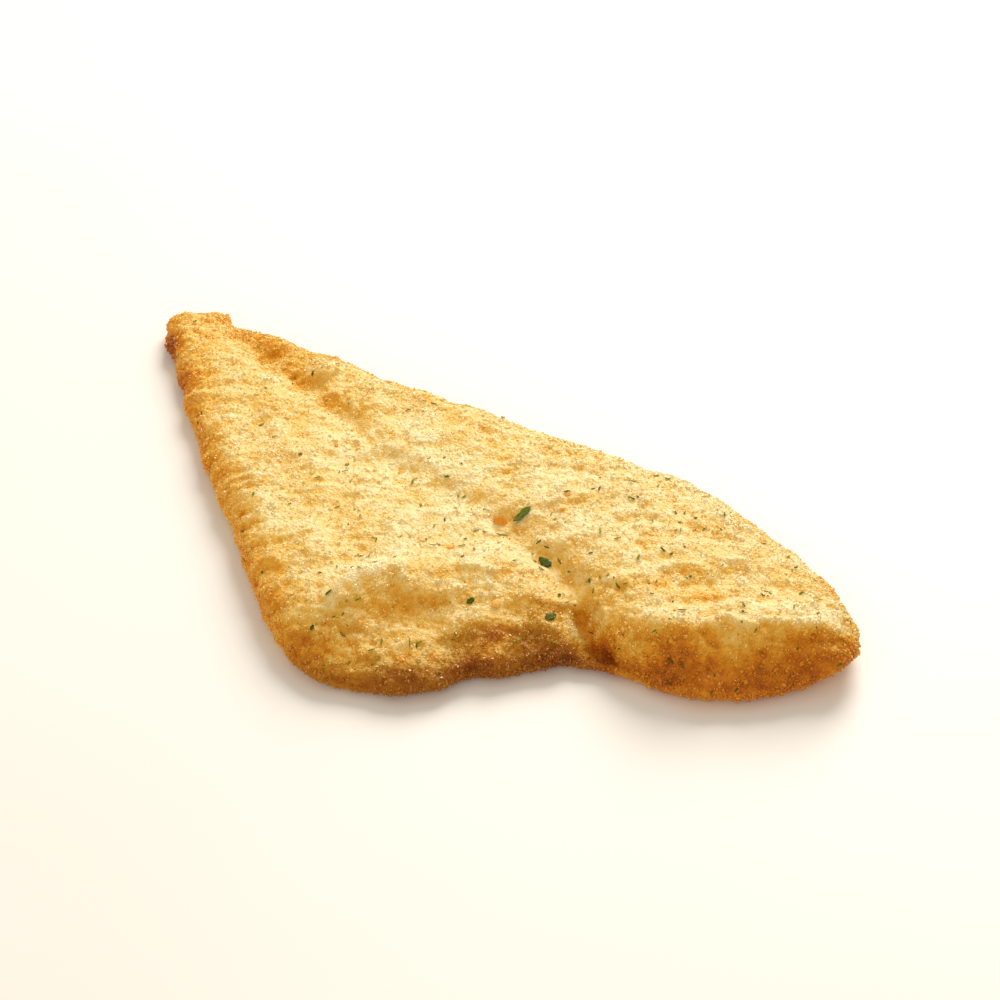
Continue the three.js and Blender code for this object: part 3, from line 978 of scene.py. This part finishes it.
class Shader:
    """A material's node tree, with short calls for the nodes that the food uses."""

    def __init__(self, name):
        self.material = bpy.data.materials.new(name)
        self.material.use_nodes = True
        self.tree = self.material.node_tree
        self.surface = self.tree.nodes["Principled BSDF"]
        self.coordinates = self.tree.nodes.new("ShaderNodeTexCoord").outputs["Object"]

    def node(self, kind, **settings):
        made = self.tree.nodes.new(kind)
        for name, value in settings.items():
            setattr(made, name, value)
        return made

    def link(self, source, target):
        self.tree.links.new(source, target)

    def attribute(self, name):
        return self.node("ShaderNodeAttribute", attribute_name=name).outputs["Fac"]

    def noise(self, pitch, detail=3, roughness=0.55):
        made = self.node("ShaderNodeTexNoise")
        made.inputs["Scale"].default_value = 1 / (pitch * MM)
        made.inputs["Detail"].default_value = detail
        made.inputs["Roughness"].default_value = roughness
        self.link(self.coordinates, made.inputs["Vector"])
        return made.outputs["Fac"]

    def cells(self, pitch):
        """The distance from the middle of each cell."""
        made = self.node("ShaderNodeTexVoronoi")
        made.inputs["Scale"].default_value = 1 / (pitch * MM)
        self.link(self.coordinates, made.inputs["Vector"])
        return made.outputs["Distance"]

    def cell_value(self, pitch):
        """A random level for each cell."""
        made = self.node("ShaderNodeTexVoronoi")
        made.inputs["Scale"].default_value = 1 / (pitch * MM)
        self.link(self.coordinates, made.inputs["Vector"])
        split = self.node("ShaderNodeSeparateColor")
        self.link(made.outputs["Color"], split.inputs[0])
        return split.outputs[0]

    def math(self, operation, *values):
        made = self.node("ShaderNodeMath", operation=operation)
        for socket, value in zip(made.inputs, values):
            if isinstance(value, (int, float)):
                socket.default_value = value
            else:
                self.link(value, socket)
        return made.outputs[0]

    def ramp(self, factor, stops):
        made = self.node("ShaderNodeValToRGB")
        elements = made.color_ramp.elements
        while len(elements) < len(stops):
            elements.new(0.5)
        for element, (position, colour) in zip(elements, stops):
            element.position = position
            element.color = colour
        self.link(factor, made.inputs["Fac"])
        return made.outputs["Color"]

    def tinted(self, share, colour, tint):
        """The colour, multiplied by the tint as far as the share says."""
        made = self.node("ShaderNodeMix", data_type="RGBA", blend_type="MULTIPLY")
        first, second = [socket for socket in made.inputs if socket.type == "RGBA"]
        self.link(share, made.inputs["Factor"])
        self.link(colour, first)
        second.default_value = tint
        return next(socket for socket in made.outputs if socket.type == "RGBA")

    def spread(self, value, low, high, new_low, new_high):
        made = self.node("ShaderNodeMapRange")
        for socket, number in zip(made.inputs[1:5], (low, high, new_low, new_high)):
            socket.default_value = number
        self.link(value, made.inputs["Value"])
        return made.outputs[0]

    def mottle(self, pitch, detail, low, high):
        """A noise spread between two levels."""
        return self.spread(self.noise(pitch, detail), *NOISE_SPAN, low, high)

    def bump(self, height, distance, strength, after=None):
        made = self.node("ShaderNodeBump")
        made.inputs["Distance"].default_value = distance * MM
        made.inputs["Strength"].default_value = strength
        self.link(height, made.inputs["Height"])
        if after is not None:
            self.link(after, made.inputs["Normal"])
        return made.outputs["Normal"]

    def set(self, **values):
        for name, value in values.items():
            self.surface.inputs[name.replace("_", " ")].default_value = value


CRUST_STOPS = (
    (0.00, srgb(249, 228, 172)),
    (0.20, srgb(245, 209, 128)),
    (0.38, srgb(241, 187, 76)),
    (0.55, srgb(232, 157, 34)),
    (0.75, srgb(212, 122, 14)),
    (1.00, srgb(164, 76, 6)),
)


# The crust's colour is multiplied by this for painted shade, a dull dark gold, on the lobes' fronts.
PAINTED_SHADE_TINT = (0.48, 0.43, 0.25, 1)
WARM_GLOSS = (1, 0.78, 0.42, 1)

# Pitches of the crust's looks.
CRUST_MOTTLE_PITCH = 5.5
CRUST_GLOSS_PITCH = 2.2
CRUST_GRAIN_PITCH = 0.75
CRUST_DUST_PITCH = 0.45


def crust_material():
    shader = Shader("crust_fried")
    mottle = shader.mottle(CRUST_MOTTLE_PITCH, 4, -0.10, 0.10)
    grains = shader.spread(shader.cell_value(CRUST_GRAIN_PITCH), 0, 1, -0.07, 0.07)
    # The brown level holds fried browning together with painted shade and painted light.
    tone = shader.math("ADD", shader.attribute("brown_and_shade"), mottle)
    tone = shader.math("ADD", tone, grains)
    # Painted shade: the colour is multiplied by a dull dark tint on the lobes' fronts, most on the left
    # lobe.
    colour = shader.tinted(shader.attribute("painted_shade"), shader.ramp(tone, CRUST_STOPS), PAINTED_SHADE_TINT)
    shader.link(colour, shader.surface.inputs["Base Color"])
    rough = shader.mottle(CRUST_GLOSS_PITCH, 2, 0.36, 0.6)
    shader.link(rough, shader.surface.inputs["Roughness"])
    domes = shader.math("SUBTRACT", 1, shader.cells(CRUST_GRAIN_PITCH))
    dust = shader.noise(CRUST_DUST_PITCH, 3, 0.7)
    normal = shader.bump(domes, distance=0.3, strength=0.9)
    normal = shader.bump(dust, distance=0.12, strength=0.8, after=normal)
    shader.link(normal, shader.surface.inputs["Normal"])
    shader.set(Subsurface_Weight=0.25, Subsurface_Radius=(1.2, 0.7, 0.3), Subsurface_Scale=MM)
    shader.set(Specular_IOR_Level=0.38, Specular_Tint=WARM_GLOSS)
    return shader.material


CRUMB_MOTTLE_PITCH = 0.5
CRUMB_DUST_PITCH = 0.25


def crumb_material():
    shader = Shader("crumbs_fried")
    tint = shader.spread(shader.attribute("tint"), 0, 1, -0.16, 0.08)
    mottle = shader.mottle(CRUMB_MOTTLE_PITCH, 2, -0.05, 0.05)
    # The crumbs' brown level holds fried browning together with painted shade and painted light.
    tone = shader.math("ADD", shader.attribute("brown_and_shade"), tint)
    tone = shader.math("ADD", tone, mottle)
    # Painted shade: crumbs on the lobes' fronts are darkened like the crust under them.
    colour = shader.tinted(shader.attribute("painted_shade"), shader.ramp(tone, CRUST_STOPS), PAINTED_SHADE_TINT)
    shader.link(colour, shader.surface.inputs["Base Color"])
    normal = shader.bump(shader.noise(CRUMB_DUST_PITCH, 2), distance=0.05, strength=0.8)
    shader.link(normal, shader.surface.inputs["Normal"])
    shader.set(Roughness=0.26, Specular_IOR_Level=0.8, Specular_Tint=WARM_GLOSS)
    return shader.material


FLECK_MOTTLE_PITCH = 0.6
FLECK_DUST_PITCH = 0.35


def fleck_material(name, stops, roughness):
    """For the toasted crumbs, the herbs and the specks: a tint per fleck, with a mottle."""
    shader = Shader(name)
    mottle = shader.mottle(FLECK_MOTTLE_PITCH, 3, -0.25, 0.25)
    tone = shader.math("ADD", shader.attribute("tint"), mottle)
    shader.link(shader.ramp(tone, stops), shader.surface.inputs["Base Color"])
    normal = shader.bump(shader.noise(FLECK_DUST_PITCH, 2), distance=0.08, strength=0.8)
    shader.link(normal, shader.surface.inputs["Normal"])
    shader.set(Roughness=roughness, Specular_IOR_Level=0.3, Specular_Tint=WARM_GLOSS)
    return shader.material


TOASTED_STOPS = ((0, srgb(250, 205, 110)), (0.5, srgb(243, 168, 52)), (1, srgb(228, 128, 18)))
HERB_STOPS = ((0, srgb(58, 78, 2)), (0.5, srgb(106, 122, 8)), (1, srgb(172, 166, 36)))
SPECK_STOPS = ((0, srgb(92, 70, 8)), (0.5, srgb(134, 110, 18)), (1, srgb(176, 136, 40)))


# ---------------------------------------------------------------- stage

# The floor lies a hair below the underside, so that the two don't share a plane.
FLOOR_SIZE = 6000
FLOOR_LEVEL = -0.05
FLOOR_MOTTLE_PITCH = 180
FLOOR_STOPS = ((0.3, srgb(243, 239, 231)), (0.7, srgb(247, 243, 236)))

ROOM_LIGHT = 0.56
WARM_WHITE = (1, 0.93, 0.82)
KEY_WHITE = (1, 0.97, 0.94)

# Lights: (name, place in metres, size in metres, power in watts, colour).
LIGHTS = (
    ("key", (1.06, 0.76, 0.86), 1.0, 25, KEY_WHITE),
    ("fill", (-1.2, -0.9, 1.0), 1.4, 7, WARM_WHITE),
)


def add_floor():
    bpy.ops.mesh.primitive_plane_add(size=FLOOR_SIZE * MM)
    floor = bpy.context.object
    floor.name = "floor"
    floor.location.z = FLOOR_LEVEL * MM
    shader = Shader("floor_pale")
    colour = shader.ramp(shader.noise(FLOOR_MOTTLE_PITCH, 2), FLOOR_STOPS)
    shader.link(colour, shader.surface.inputs["Base Color"])
    shader.set(Roughness=0.55)
    floor.data.materials.append(shader.material)


def add_light(name, place, size, power, colour):
    lamp = bpy.data.lights.new(name, "AREA")
    lamp.shape = "DISK"
    lamp.size = size
    lamp.energy = power
    lamp.color = colour
    holder = new_piece(name, lamp)
    holder.location = place
    holder.rotation_euler = (-Vector(place)).to_track_quat("-Z", "Y").to_euler()


def add_world(strength, colour):
    world = bpy.data.worlds.new("soft_room")
    world.use_nodes = True
    background = world.node_tree.nodes["Background"]
    background.inputs["Color"].default_value = (*colour, 1)
    background.inputs["Strength"].default_value = strength
    bpy.context.scene.world = world


def add_camera():
    data = bpy.data.cameras.new("camera")
    data.sensor_width = SENSOR_WIDTH
    data.lens = CAMERA_LENS
    data.clip_start = CAMERA_CLIP_START * MM
    camera = new_piece("camera", data)
    azimuth, elevation = math.radians(CAMERA_AZIMUTH), math.radians(CAMERA_ELEVATION)
    level = math.cos(elevation)
    back = Vector((math.sin(azimuth) * level, -math.cos(azimuth) * level, math.sin(elevation)))
    camera.location = (Vector(CAMERA_AIM) + back * CAMERA_DISTANCE) * MM
    camera.rotation_mode = "QUATERNION"
    aim = (-back).to_track_quat("-Z", "Y")
    camera.rotation_quaternion = aim @ Quaternion((0, 0, 1), math.radians(CAMERA_ROLL))
    bpy.context.scene.camera = camera


FINE_CRUMBS = 24000
FINE_SIZES = (0.55, 1.0)
FINE_SEATING = -0.3
FINE_PATCH_PITCH = 9
COARSE_CRUMBS = 9500
COARSE_SIZES = (0.7, 1.35)
COARSE_SEATING = -0.42
COARSE_PATCH_PITCH = 14


def build_fine_crumbs(surface):
    weight = crumb_weight(surface.place, FINE_PATCH_PITCH, 85)
    octahedron = (OCTAHEDRON_POINTS, OCTAHEDRON_FACES)
    return crumb_piece("crumbs_fine", surface, octahedron, FINE_CRUMBS, weight, FINE_SIZES,
                       FINE_SEATING, 304, smooth=False)


def build_coarse_crumbs(surface):
    weight = crumb_weight(surface.place, COARSE_PATCH_PITCH, 86)
    return crumb_piece("crumbs_coarse", surface, icosphere(1), COARSE_CRUMBS, weight, COARSE_SIZES,
                       COARSE_SEATING, 305)


def build():
    add_camera()
    add_floor()
    add_world(ROOM_LIGHT, WARM_WHITE)
    for light in LIGHTS:
        add_light(*light)
    bpy.context.scene.view_settings.view_transform = "Standard"
    crust, place, brown_and_shade, painted_shade = build_crust()
    surface = Surface(crust, place, brown_and_shade, painted_shade)
    crumbs = crumb_material()
    toasted = fleck_material("crumbs_toasted", TOASTED_STOPS, 0.45)
    herbs = fleck_material("herbs_dried", HERB_STOPS, 0.55)
    specks = fleck_material("specks_dark", SPECK_STOPS, 0.5)
    pieces = (
        (crust, crust_material(), "crust"),
        (build_fine_crumbs(surface), crumbs, "crumbs"),
        (build_coarse_crumbs(surface), crumbs, "crumbs"),
        (build_toasted(surface), toasted, "toasted_crumbs"),
        (build_herbs(surface), herbs, "herbs"),
        (build_specks(surface), specks, "specks"),
    )
    for piece, material, slot in pieces:
        piece.data.materials.clear()
        piece.data.materials.append(material)
        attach(piece, BODY)
    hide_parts(NODE)


build()
